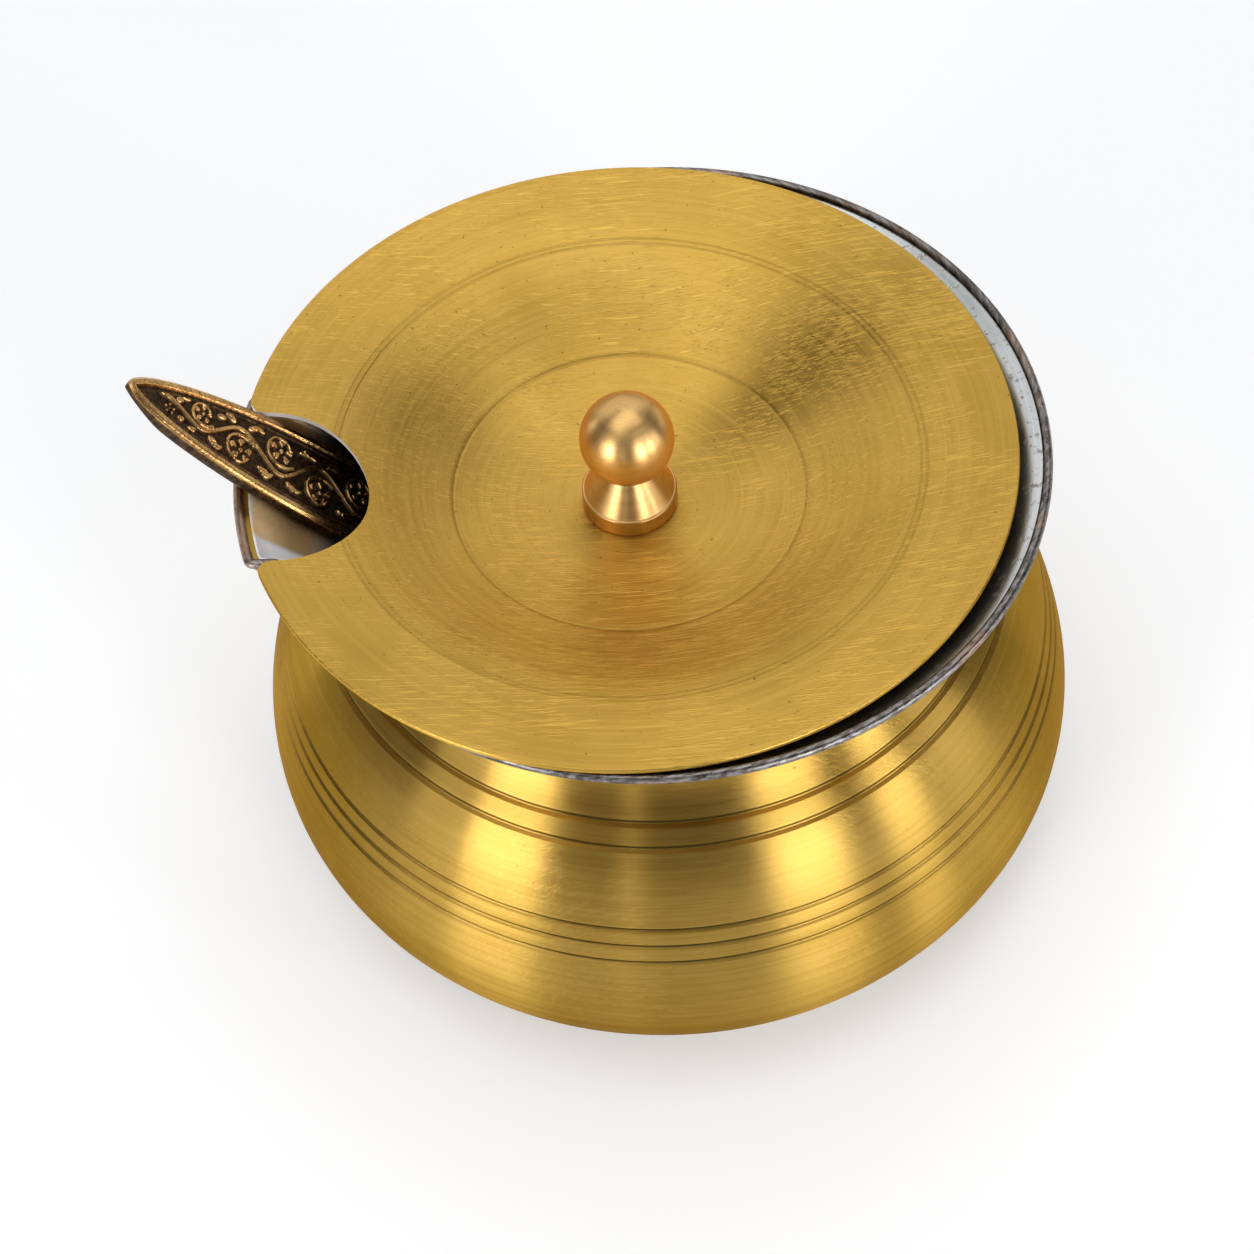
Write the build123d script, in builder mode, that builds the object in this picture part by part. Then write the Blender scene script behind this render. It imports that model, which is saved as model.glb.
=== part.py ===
from build123d import *
from math import acos, atan, cos, degrees, radians, sin, sqrt, tan
import os

os.makedirs("parts", exist_ok=True)

# Pot, in millimetres. z = 0 is the table, and the Z axis is the pot's own axis.
rim_height = 71.1          # centre of the rim bead above the table
rim_radius = 55.0          # to the outside of the bead
bead_radius = 1.3
bead_tuck = 0.6            # of its radius that the wall runs up into the bead
neck_radius = 44.0
neck_height = 57.0
breast_radius = 50.6
breast_height = 47.6
shoulder_radius = 57.9
shoulder_height = 34.0
belly_radius = 61.3
belly_height = 18.5
foot_radius = 42.9
pot_wall = 1.2
tin_coat = 0.25

# Turned grooves on the shoulder, at these heights above the table.
groove_heights = (50.3, 47.8, 36.8, 34.0, 31.2)
groove_radius = 0.5
groove_depth = 0.3

# Pouring lip on the -X side: a short channel that carries the rim outward.
lip_reach = 3.6            # how far the lip's bead stands outside the rim's bead
lip_width = 28.4           # between the beads on its two sides
lip_corner = 1.5
lip_depth = 16.5           # below the rim, where the channel leaves the neck
lip_flare = 200.0          # radius of the channel's floor, seen from the side
lip_root = 1.5             # how far inside the neck the channel's floor starts

# Lid: a dished sheet disc, lying a little off centre over the lip.
lid_radius = 53.9
lid_sheet = 0.8
dish_depth = 12.9
dish_floor_radius = 8.0
dish_ring_radius = 24.8
dish_ring_depth = 10.0
dish_flank_radius = 40.7
dish_flank_depth = 2.75
dish_edge_slope = 0.2      # rise of the lid's flank where it ends
ring_places = (24.8, 40.6, 41.4)
ring_radius = 0.4
ring_cut = 0.15
lid_shift = 3.6            # towards the lip
lid_tilt = 0.7             # degrees, down on the side away from the lip
lid_seat_gap = 0.15        # between the lid and the rim's bead
seat_step = 2              # degrees between the places where the seat is worked out

# Notch for the spoon, cut in the lid's edge.
notch_radius = 13.2
notch_centre = 49.5        # from the lid's own axis
notch_turn = 3.0           # degrees that the notch lies turned from the lip
notch_corner = 2.0

# Knob and its fastening.
knob_ball_radius = 6.6
knob_foot_radius = 6.75
knob_foot_height = 3.1
knob_neck_radius = 3.1
knob_ball_height = 13.5    # ball's centre above the knob's foot
knob_play = 0.05           # between the knob's foot, the lid and the washer
screw_radius = 2.0
screw_play = 0.05
screw_bite = 5.5           # length of screw inside the knob
screw_head_radius = 3.6
screw_head_height = 1.9
screw_head_round = 0.8
screw_slot_width = 0.9
screw_slot_depth = 0.9
washer_radius = 4.6
washer_thickness = 0.8

# Spoon, leaning on the lip with its bowl on the pot's floor.
spoon_rise = 46.0          # degrees of the handle above level
spoon_turn = -2.2          # degrees about Z, from straight out over the lip
spoon_side = 3.3           # where the handle crosses the lip, along Y
spoon_gap = 0.15           # between the spoon, the lip's bead and the floor
spoon_length = 121.3
handle_thickness = 2.2
handle_width = 14.4
handle_wide_place = 33.0   # from the tip to the widest place
handle_tip_fullness = 2.4  # how blunt the tip is
handle_tip_pull = 18.0     # how far the leaf keeps its width towards the tip
handle_taper_pull = 14.0   # how gently the leaf runs into the neck
neck_width = 5.0
neck_place = 66.0          # from the tip to where the neck is down to its width
handle_border = 1.1        # raised border round the handle's face
handle_recess = 0.45
bowl_length = 34.0
bowl_width = 18.4
bowl_depth = 4.6
bowl_wall = 1.1
bowl_drop = 1.3            # bowl's rim below the handle's face

# Worked out from the sizes above.
bead_circle = rim_radius - bead_radius
lip_circle = bead_circle + lip_reach
lining_inset = pot_wall + tin_coat
floor_height = lining_inset
wall_top = rim_height + bead_tuck * bead_radius
lip_plan_start = neck_radius - lining_inset - 2 * lip_root
lip_match = 0.001          # how near to the rim's circle a corner of its plan has to lie
side_steps = 12            # places where the side's inner faces are set off from its outside
halvings = 40              # steps of the search for a point on a curve
half_round = 180           # degrees; both halves of the rim are alike


def arc_centre(start, end, radius):
    """Centre of the arc from start up to end that bulges towards the pot's axis."""
    half = sqrt((end[0] - start[0]) ** 2 + (end[1] - start[1]) ** 2) / 2
    along = ((end[0] - start[0]) / (2 * half), (end[1] - start[1]) / (2 * half))
    rise = sqrt(radius ** 2 - half ** 2)
    return (
        (start[0] + end[0]) / 2 + rise * along[1],
        (start[1] + end[1]) / 2 - rise * along[0],
    )


def offset_point(point, centre, amount):
    """The point moved away from the centre by amount."""
    reach = sqrt((point[0] - centre[0]) ** 2 + (point[1] - centre[1]) ** 2)
    grow = (reach + amount) / reach
    return (centre[0] + (point[0] - centre[0]) * grow, centre[1] + (point[1] - centre[1]) * grow)


def height_on(curve, radius):
    """Height of a curve at a radius; the curve runs outward."""
    low, high = 0.0, 1.0
    for _ in range(halvings):
        middle = (low + high) / 2
        if (curve @ middle).X < radius:
            low = middle
        else:
            high = middle
    return (curve @ low).Y


def radius_on(curve, height):
    """Radius of a curve at a height; the curve runs upward."""
    low, high = 0.0, 1.0
    for _ in range(halvings):
        middle = (low + high) / 2
        if (curve @ middle).Y < height:
            low = middle
        else:
            high = middle
    return (curve @ low).X


# The wall's middle line in the flare runs upright out of the neck to the bead's centre.
flare_start = (neck_radius - pot_wall / 2, neck_height)
flare_end = (bead_circle, rim_height)
flare_turn = 2 * atan((flare_end[0] - flare_start[0]) / (flare_end[1] - flare_start[1]))
flare_radius = (flare_end[1] - flare_start[1]) / sin(flare_turn)
flare_centre = (flare_start[0] + flare_radius, neck_height)


def shoulder_curve(inset):
    """Side of the pot from the belly to the neck, moved inward by inset along its normal."""
    outer = Spline(
        (belly_radius, belly_height),
        (shoulder_radius, shoulder_height),
        (breast_radius, breast_height),
        (neck_radius, neck_height),
        tangents=[(0, 1), (0, 1)],
        mode=Mode.PRIVATE,
    )
    if inset == 0:
        return outer
    points = []
    for step in range(side_steps + 1):
        aim = outer % (step / side_steps)
        points.append(outer @ (step / side_steps) + Vector(-aim.Y, aim.X) * inset)
    return Spline(*points, tangents=[(0, 1), (0, 1)], mode=Mode.PRIVATE)


def pot_space(inset, top):
    """Section of what lies inside the pot's outside (inset 0), its brass wall or its tin coat."""
    with BuildSketch(Plane.XZ) as space:
        with BuildLine():
            floor = Line((0, inset), (foot_radius, inset))
            EllipticalCenterArc(
                (foot_radius, belly_height),
                belly_radius - foot_radius - inset,
                belly_height - inset,
                start_angle=270,
                arc_size=90,
            )
            add(shoulder_curve(inset))
            flare = CenterArc(flare_centre, flare_radius - pot_wall / 2 + inset, 180, -degrees(flare_turn))
            Polyline(flare @ 1, ((flare @ 1).X, top), (0, top), floor @ 0)
        make_face()
    return space.sketch


def lip_section(inset, top):
    """Section of the channel above its floor, up to the height top."""
    start = (neck_radius - lining_inset - lip_root, rim_height - lip_depth)
    end = (lip_circle, rim_height)
    centre = arc_centre(start, end, lip_flare)
    low = offset_point(start, centre, inset - pot_wall / 2)
    high = offset_point(end, centre, inset - pot_wall / 2)
    with BuildSketch(Plane.XZ) as channel:
        with BuildLine():
            RadiusArc(low, high, lip_flare + inset - pot_wall / 2)
            Polyline(high, (high[0], top), (low[0], top), low)
        make_face()
    return channel.sketch


def lip_plan(inset):
    """Outline of the lip from above: a tongue with an end that follows the rim."""
    grow = pot_wall / 2 - inset
    with BuildSketch() as tongue:
        Circle(lip_circle + grow)
        with Locations((-lip_circle, 0)):
            Rectangle(2 * (lip_circle - lip_plan_start), lip_width + 2 * grow, mode=Mode.INTERSECT)
        fillet(tongue.vertices().group_by(Axis.X)[0], lip_corner + grow)
    return tongue.sketch


def vessel(inset, top):
    """Solid of the pot and its lip together, to the outside, the brass wall or the tin coat."""
    with BuildPart(mode=Mode.PRIVATE) as lip:
        revolve(lip_section(inset, top), Axis.Z)
        extrude(lip_plan(inset), amount=2 * rim_height, mode=Mode.INTERSECT)
    with BuildPart(mode=Mode.PRIVATE) as space:
        revolve(pot_space(inset, top), Axis.Z)
        add(lip.part)
    return space.part


def rim_bead(radius):
    """Bead round the rim, out along the lip's sides and round its end."""
    with BuildSketch() as plan:
        Circle(bead_circle)
        add(lip_plan(pot_wall / 2))
        roots = plan.vertices().filter_by(lambda v: abs(Vector(v.X, v.Y).length - bead_circle) < lip_match)
        fillet(roots, lip_corner)
    path = plan.face().outer_wire().moved(Location((0, 0, rim_height)))
    with BuildPart(mode=Mode.PRIVATE) as bead:
        with BuildSketch(Plane(origin=path @ 0, z_dir=path % 0)):
            Circle(radius)
        sweep(path=path)
    return bead.part


outside = vessel(0, wall_top)
brass_space = vessel(pot_wall, wall_top)
tin_space = vessel(lining_inset, wall_top + bead_radius)
core = rim_bead(bead_radius - tin_coat)
coat = rim_bead(bead_radius)

# Pot body: spun brass shell with its rolled bead and turned grooves.
with BuildPart() as pot_body:
    add(outside)
    add(brass_space, mode=Mode.SUBTRACT)
    add(core)
    with BuildSketch(Plane.XZ) as grooves:
        side = shoulder_curve(0)
        for height in groove_heights:
            with Locations((radius_on(side, height) + groove_radius - groove_depth, height)):
                Circle(groove_radius)
    revolve(axis=Axis.Z, mode=Mode.SUBTRACT)
pot_body.part.label = "pot_body"
export_step(pot_body.part, "parts/pot_body.step")

# Tin lining: the tinned skin over the inside, the flare, the lip and the bead.
with BuildPart() as tin_lining:
    add(brass_space)
    add(tin_space, mode=Mode.SUBTRACT)
    add(coat)
    add(pot_body.part, mode=Mode.SUBTRACT)
tin_lining.part.label = "tin_lining"
export_step(tin_lining.part, "parts/tin_lining.step")


# Lid's own frame: its origin is the centre of the circle of its edge, on the upper face.
def dish_curve(drop):
    """Upper face of the lid from its middle to its edge, let down by drop."""
    return Spline(
        (dish_floor_radius, -dish_depth - drop),
        (dish_ring_radius, -dish_ring_depth - drop),
        (dish_flank_radius, -dish_flank_depth - drop),
        (lid_radius, -drop),
        tangents=[(1, 0), (1, dish_edge_slope)],
        mode=Mode.PRIVATE,
    )


def seat_height(place):
    """Height of the lid's frame at which its under face clears the bead at one place round the rim."""
    across = bead_circle * cos(place) + lid_shift
    radius = sqrt(across ** 2 + (bead_circle * sin(place)) ** 2)
    if radius > lid_radius:
        return rim_height
    sink = -height_on(dish_curve(0), radius)
    return rim_height + bead_radius + lid_seat_gap + lid_sheet + sink + across * tan(radians(lid_tilt))


lid_height = max(seat_height(radians(place)) for place in range(0, half_round + seat_step, seat_step))
lid_plane = Plane(
    origin=(-lid_shift, 0, lid_height),
    x_dir=(cos(radians(lid_tilt)), 0, -sin(radians(lid_tilt))),
    z_dir=(sin(radians(lid_tilt)), 0, cos(radians(lid_tilt))),
)
lid_section = Plane(origin=lid_plane.origin, x_dir=lid_plane.x_dir, z_dir=-lid_plane.y_dir)
lid_axis = Axis(lid_plane.origin, lid_plane.z_dir)
notch_angle = radians(180 + notch_turn)
notch_middle = (notch_centre * cos(notch_angle), notch_centre * sin(notch_angle), 0)

hole_radius = screw_radius + screw_play

# Lid plate: dished brass sheet with turned rings, a screw hole and the spoon's notch.
with BuildPart() as lid_plate:
    with BuildSketch(lid_section):
        with BuildLine():
            upper = dish_curve(0)
            lower = dish_curve(lid_sheet)
            add(upper)
            add(lower)
            hole = Line((hole_radius, -dish_depth), (hole_radius, -dish_depth - lid_sheet))
            Line(upper @ 0, hole @ 0)
            Line(lower @ 0, hole @ 1)
            Line(upper @ 1, lower @ 1)
        make_face()
    revolve(axis=lid_axis)
    with BuildSketch(lid_section):
        for ring in ring_places:
            with Locations((ring, height_on(dish_curve(0), ring) + ring_radius - ring_cut)):
                Circle(ring_radius)
    revolve(axis=lid_axis, mode=Mode.SUBTRACT)
    with BuildSketch(lid_plane) as notch:
        with Locations(Location(notch_middle, notch_turn)):
            Circle(notch_radius)
            with Locations((-notch_radius, 0)):
                Rectangle(2 * notch_radius, 2 * notch_radius)
    extrude(amount=dish_depth, both=True, mode=Mode.SUBTRACT)
    fillet(lid_plate.edges().filter_by(lid_axis).sort_by(Axis.X)[:2], notch_corner)
lid_plate.part.label = "lid_plate"
export_step(lid_plate.part, "parts/lid_plate.step")

# Knob: turned brass ball on a cone and a round foot, with a tapped hole below.
foot_level = -dish_depth + knob_play
with BuildPart() as lid_knob:
    with BuildSketch(lid_section):
        with BuildLine():
            ball = CenterArc(
                (0, foot_level + knob_ball_height),
                knob_ball_radius,
                90,
                -90 - degrees(acos(knob_neck_radius / knob_ball_radius)),
            )
            Polyline(
                ball @ 1,
                (knob_foot_radius, foot_level + knob_foot_height),
                (knob_foot_radius, foot_level),
                (0, foot_level),
                ball @ 0,
            )
        make_face()
    revolve(axis=lid_axis)
    with BuildSketch(lid_plane.offset(foot_level)):
        Circle(screw_radius)
    extrude(amount=screw_bite + screw_play, mode=Mode.SUBTRACT)
lid_knob.part.label = "lid_knob"
export_step(lid_knob.part, "parts/lid_knob.step")

# Washer under the lid.
washer_level = -dish_depth - lid_sheet - knob_play - washer_thickness
with BuildPart() as knob_washer:
    with BuildSketch(lid_plane.offset(washer_level)):
        Circle(washer_radius)
        Circle(hole_radius, mode=Mode.SUBTRACT)
    extrude(amount=washer_thickness)
knob_washer.part.label = "knob_washer"
export_step(knob_washer.part, "parts/knob_washer.step")

# Screw: slotted pan head below the washer, shank up into the knob.
with BuildPart() as knob_screw:
    with BuildSketch(lid_plane.offset(washer_level)):
        Circle(screw_head_radius)
    extrude(amount=-screw_head_height)
    fillet(knob_screw.edges().group_by(Axis.Z)[0], screw_head_round)
    with BuildSketch(lid_plane.offset(washer_level)):
        Circle(screw_radius)
    extrude(amount=foot_level + screw_bite - washer_level)
    with BuildSketch(lid_plane.offset(washer_level - screw_head_height)):
        Rectangle(2 * screw_head_radius, screw_slot_width)
    extrude(amount=screw_slot_depth, mode=Mode.SUBTRACT)
knob_screw.part.label = "knob_screw"
export_step(knob_screw.part, "parts/knob_screw.step")

# Spoon's own frame: x runs from the handle's tip to the bowl, z stands up from its face.
rise = radians(spoon_rise)
turn = radians(spoon_turn)
towards_tip = Vector(-cos(turn) * cos(rise), -sin(turn) * cos(rise), sin(rise))
face_up = Vector(cos(turn) * sin(rise), sin(turn) * sin(rise), cos(rise))
bowl_place = spoon_length - bowl_length / 2
lean = bead_radius + spoon_gap + handle_thickness
tip_above_lip = (
    floor_height + spoon_gap + spoon_length * sin(rise) + bowl_drop * cos(rise)
    - rim_height - lean * cos(rise)
) / sin(rise)
spoon_edge = spoon_side + handle_width / 2
lip_point = Vector(-sqrt(lip_circle ** 2 - spoon_edge ** 2), spoon_side, rim_height)
tip = lip_point + face_up * lean + towards_tip * tip_above_lip
spoon_plane = Plane(origin=tip, x_dir=-towards_tip, z_dir=face_up)


def handle_side(border):
    """One side of the handle, or of its field inside a border, from the tip round the leaf to the neck."""
    half = handle_width / 2 - border
    neck_half = neck_width / 2 - border
    leaf = Bezier(
        (2 * border, 0),
        (2 * border, handle_tip_fullness),
        (handle_wide_place - handle_tip_pull, half),
        (handle_wide_place, half),
    )
    return Bezier(
        leaf @ 1,
        (handle_wide_place + handle_taper_pull, half),
        (neck_place - handle_taper_pull, neck_half),
        (neck_place, neck_half),
    )


# The bowl is the lower cap of a long ball, and its hollow the cap of a smaller one.
ball_radius = (bowl_width ** 2 / 4 + bowl_depth ** 2) / (2 * bowl_depth)
ball_reach = ball_radius * bowl_length / bowl_width


def long_ball(inset):
    """The ball of the bowl (inset 0) or of its hollow, round the X axis."""
    with BuildPart(mode=Mode.PRIVATE) as ball:
        with BuildSketch(Plane.XZ):
            Ellipse(ball_reach - inset, ball_radius - inset)
            Rectangle(2 * ball_reach, ball_radius, align=(Align.CENTER, Align.MAX), mode=Mode.SUBTRACT)
        revolve(axis=Axis.X)
    return ball.part


ball_plane = spoon_plane.offset(ball_radius - bowl_depth - bowl_drop)
ball_location = Location(ball_plane) * Location((bowl_place, 0, 0))
bowl_cap = split(long_ball(0), bisect_by=Plane.XY.offset(bowl_depth - ball_radius), keep=Keep.BOTTOM)

# Spoon: one casting, a pointed leaf handle with a raised border, and an oval bowl.
with BuildPart() as spoon:
    with BuildSketch(spoon_plane):
        with BuildLine():
            neck = handle_side(0)
            bar = Line(neck @ 1, (bowl_place - bowl_length / 2 + 2 * bowl_wall, neck_width / 2))
            mirror(about=Plane.XZ)
            Line(bar @ 1, ((bar @ 1).X, -neck_width / 2))
        make_face()
    extrude(amount=-handle_thickness)
    with BuildSketch(spoon_plane):
        with BuildLine():
            neck = handle_side(handle_border)
            mirror(about=Plane.XZ)
            Line(neck @ 1, (neck_place, -(neck @ 1).Y))
        make_face()
    extrude(amount=-handle_recess, mode=Mode.SUBTRACT)
    add(bowl_cap.moved(ball_location))
    add(long_ball(bowl_wall).moved(ball_location), mode=Mode.SUBTRACT)
spoon.part.label = "spoon"
export_step(spoon.part, "parts/spoon.step")
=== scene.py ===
from math import acos, atan, cos, pi, radians, sin, sqrt

import bmesh
import bpy
import numpy as np
from mathutils import Matrix, Vector


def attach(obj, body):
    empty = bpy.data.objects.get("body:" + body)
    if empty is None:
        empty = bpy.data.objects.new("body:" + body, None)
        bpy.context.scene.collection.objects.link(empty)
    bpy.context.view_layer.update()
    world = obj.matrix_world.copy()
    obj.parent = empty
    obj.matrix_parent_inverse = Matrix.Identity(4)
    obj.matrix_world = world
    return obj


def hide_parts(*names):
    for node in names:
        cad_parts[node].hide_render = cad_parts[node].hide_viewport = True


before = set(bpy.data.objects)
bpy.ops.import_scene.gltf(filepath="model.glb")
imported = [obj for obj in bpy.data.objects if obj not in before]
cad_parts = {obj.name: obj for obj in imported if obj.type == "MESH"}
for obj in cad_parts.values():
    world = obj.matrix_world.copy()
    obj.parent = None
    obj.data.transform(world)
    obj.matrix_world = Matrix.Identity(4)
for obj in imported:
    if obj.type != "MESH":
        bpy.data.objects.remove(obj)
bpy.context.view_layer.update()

mm = 0.001  # every size below is in millimetres, and meshes are made in metres
nearlyZero = 0.01  # keeps divisions away from zero
scene = bpy.context.scene

# Helpers for meshes


def smoothMin(a, b, blend):
    # the smaller of two values, eased over where they cross
    share = np.clip(0.5 + 0.5 * (b - a) / blend, 0, 1)
    return b * (1 - share) + a * share - blend * share * (1 - share)


def smoothMax(a, b, blend):
    return -smoothMin(-a, -b, blend)


def ease(value, low, high):
    share = np.clip((value - low) / (high - low), 0, 1)
    return share * share * (3 - 2 * share)


def curveThrough(points, startAim, endAim, steps):
    # smooth curve through the points that leaves and arrives along the two aims
    at = np.array(points, float)
    gaps = np.linalg.norm(np.diff(at, axis=0), axis=1)
    count = len(at)
    system = np.zeros((count, count))
    right = np.zeros((count, 2))
    system[0, 0] = system[-1, -1] = 1
    right[0] = np.array(startAim) / np.linalg.norm(startAim)
    right[-1] = np.array(endAim) / np.linalg.norm(endAim)
    for i in range(1, count - 1):
        before, after = gaps[i - 1], gaps[i]
        system[i, i - 1 : i + 2] = 1 / before, 2 / before + 2 / after, 1 / after
        right[i] = 3 * ((at[i] - at[i - 1]) / before**2 + (at[i + 1] - at[i]) / after**2)
    aims = np.linalg.solve(system, right)
    pieces = []
    for i in range(count - 1):
        u = np.linspace(0, 1, steps)[:, None]
        pieces.append(
            (2 * u**3 - 3 * u**2 + 1) * at[i]
            + (u**3 - 2 * u**2 + u) * gaps[i] * aims[i]
            + (3 * u**2 - 2 * u**3) * at[i + 1]
            + (u**3 - u**2) * gaps[i] * aims[i + 1]
        )
    return np.concatenate(pieces)


def link(name, data):
    # an object made of the data, in the scene
    piece = bpy.data.objects.new(name, data)
    scene.collection.objects.link(piece)
    return piece


def finishMesh(piece, sharpAngle=35):
    # merge doubles, turn the faces outward and shade the soft edges smooth
    shape = bmesh.new()
    shape.from_mesh(piece.data)
    bmesh.ops.remove_doubles(shape, verts=shape.verts, dist=1e-6)
    bmesh.ops.dissolve_degenerate(shape, dist=1e-7, edges=shape.edges)
    bmesh.ops.recalc_face_normals(shape, faces=shape.faces)
    shape.to_mesh(piece.data)
    shape.free()
    piece.data.shade_smooth()
    piece.data.set_sharp_from_angle(angle=radians(sharpAngle))


def gridMesh(name, grid, wrap=True):
    # quads over rows of points; wrap joins the last column to the first
    rows, columns = grid.shape[:2]
    number = np.arange(rows * columns).reshape(rows, columns)
    nextColumn = np.roll(number, -1, axis=1)
    if not wrap:
        number, nextColumn = number[:, :-1], number[:, 1:]
    faces = np.stack([number[:-1], nextColumn[:-1], nextColumn[1:], number[1:]], axis=-1).reshape(-1, 4)
    mesh = bpy.data.meshes.new(name)
    mesh.from_pydata((grid.reshape(-1, 3) * mm).tolist(), [], faces.tolist())
    mesh.update()
    return link(name, mesh)


def plainMesh(piece, name):
    # what the modifiers make, as a mesh with none
    graph = bpy.context.evaluated_depsgraph_get()
    final = piece.evaluated_get(graph)
    mesh = bpy.data.meshes.new_from_object(final, preserve_all_data_layers=True, depsgraph=graph)
    made = link(name, mesh)
    bpy.data.objects.remove(piece)
    return made


def lineCurve(name, points, closed=False):
    curve = bpy.data.curves.new(name, "CURVE")
    curve.dimensions = "3D"
    strip = curve.splines.new("POLY")
    strip.points.add(len(points) - 1)
    for spot, point in zip(strip.points, points):
        spot.co = (*(np.array(point) * mm), 1)
    strip.use_cyclic_u = closed
    return link(name, curve)


def newTree(name, inputs):
    # a Geometry Nodes tree with its named inputs, what they give, and its end
    tree = bpy.data.node_groups.new(name, "GeometryNodeTree")
    tree.interface.new_socket(name="Geometry", in_out="INPUT", socket_type="NodeSocketGeometry")
    for label, kind in inputs.items():
        tree.interface.new_socket(name=label, in_out="INPUT", socket_type="NodeSocket" + kind)
    tree.interface.new_socket(name="Geometry", in_out="OUTPUT", socket_type="NodeSocketGeometry")
    return tree, tree.nodes.new("NodeGroupInput").outputs, tree.nodes.new("NodeGroupOutput")


def addNode(tree, kind, links=None, values=None, **settings):
    node = tree.nodes.new(kind)
    for label, value in settings.items():
        setattr(node, label, value)
    for label, value in (values or {}).items():
        node.inputs[label].default_value = value
    for label, source in (links or {}).items():
        tree.links.new(source, node.inputs[label])
    return node


def finishTree(tree, end, made, metal):
    # every tree ends by making its geometry real and setting its material
    real = addNode(tree, "GeometryNodeRealizeInstances", {"Geometry": made.outputs[0]})
    painted = addNode(tree, "GeometryNodeSetMaterial", {"Geometry": real.outputs[0], "Material": metal})
    tree.links.new(painted.outputs[0], end.inputs[0])
    return tree


def markRaised(piece, marks):
    # how much each point is rubbed, for the material to read: mostly how far it stands up, and on the
    # handle's side walls a painted shade and a painted highlight
    values = piece.data.attributes.new("raised", "FLOAT", "POINT")
    values.data.foreach_set("value", np.array(marks, np.float32).ravel())


def runTree(piece, tree, values, name):
    modifier = piece.modifiers.new("steps", "NODES")
    modifier.node_group = tree
    for label, value in values.items():
        modifier[tree.interface.items_tree[label].identifier] = value
    return plainMesh(piece, name)


# Helpers for materials


class Wire:
    # one output of a node, in a material or a tree, so that sums read as sums
    def __init__(self, tree, socket=None):
        self.tree, self.socket = tree, socket

    def node(self, kind, inputs=None, out=0, **settings):
        inputs = inputs or {}
        links = {label: value.socket for label, value in inputs.items() if isinstance(value, Wire)}
        values = {label: value for label, value in inputs.items() if label not in links}
        made = addNode(self.tree, "ShaderNode" + kind, links, values, **settings)
        return Wire(self.tree, made.outputs[out])

    def sum(self, operation, other=0.0):
        return self.node("Math", {0: self, 1: other}, operation=operation)

    def __add__(self, other):
        return self.sum("ADD", other)

    __radd__ = __add__

    def __mul__(self, other):
        return self.sum("MULTIPLY", other)

    __rmul__ = __mul__

    def __sub__(self, other):
        return self.sum("SUBTRACT", other)

    def __rsub__(self, other):
        return self.node("Math", {0: other, 1: self}, operation="SUBTRACT")

    def __truediv__(self, other):
        return self.sum("DIVIDE", other)

    def root(self):
        return self.sum("SQRT")

    def between(self, low, high, start=0.0, end=1.0):
        # 0 below low and 1 above high, eased, then spread from start to end
        return self.node(
            "MapRange",
            {"Value": self, "From Min": low, "From Max": high, "To Min": start, "To Max": end},
            interpolation_type="SMOOTHSTEP",
        )

    def noise(self, scale, detail=2.0, roughness=0.5):
        inputs = {"Vector": self, "Scale": scale, "Detail": detail, "Roughness": roughness}
        return self.node("TexNoise", inputs)

    def stretched(self, size, turn=(0, 0, 0), place=(0, 0, 0)):
        inputs = {"Vector": self, "Location": place, "Rotation": turn, "Scale": size}
        return self.node("Mapping", inputs)


def mixColour(share, first, second):
    return share.node("Mix", {0: share, 6: first, 7: second}, out=2, data_type="RGBA")


def shaded(colour, factor):
    # the colour darker below 1 and lighter above it
    return [min(1, c * factor) for c in colour[:3]] + [1]


def newMaterial(name, centre=(0, 0, 0), **fixed):
    # a material with constants set on its shader, the place from its centre in millimetres,
    # and a way to feed the shader's inputs
    material = bpy.data.materials.new(name)
    material.use_nodes = True
    tree = material.node_tree
    shader = tree.nodes["Principled BSDF"]
    for label, value in fixed.items():
        shader.inputs[label.replace("_", " ")].default_value = value
    here = Wire(tree).node("TexCoord", out=3)
    here = here.stretched((1 / mm,) * 3, place=[-1 * c for c in centre])
    return material, here, lambda label, wire: tree.links.new(wire.socket, shader.inputs[label])


def split(place):
    return [place.node("SeparateXYZ", {0: place}, out=i) for i in range(3)]


def join(x, y, z):
    maker = next(v for v in (x, y, z) if isinstance(v, Wire))
    return maker.node("CombineXYZ", {0: x, 1: y, 2: z})


def ringPlace(here, across, around, up):
    # coordinates that run round the Z axis with no seam, each with its own fineness, and the radius
    x, y, z = split(here)
    radius = (x * x + y * y + nearlyZero).root()
    drift = radius * across
    return join(x / radius * around + drift, y / radius * around - drift, z * up), radius


def bumped(height, look):
    return height.node("Bump", {"Strength": look["lines"], "Distance": look["depth"], "Height": height})


# Materials: a span is where an eased step starts and ends, a share is how much of a colour goes in

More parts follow.
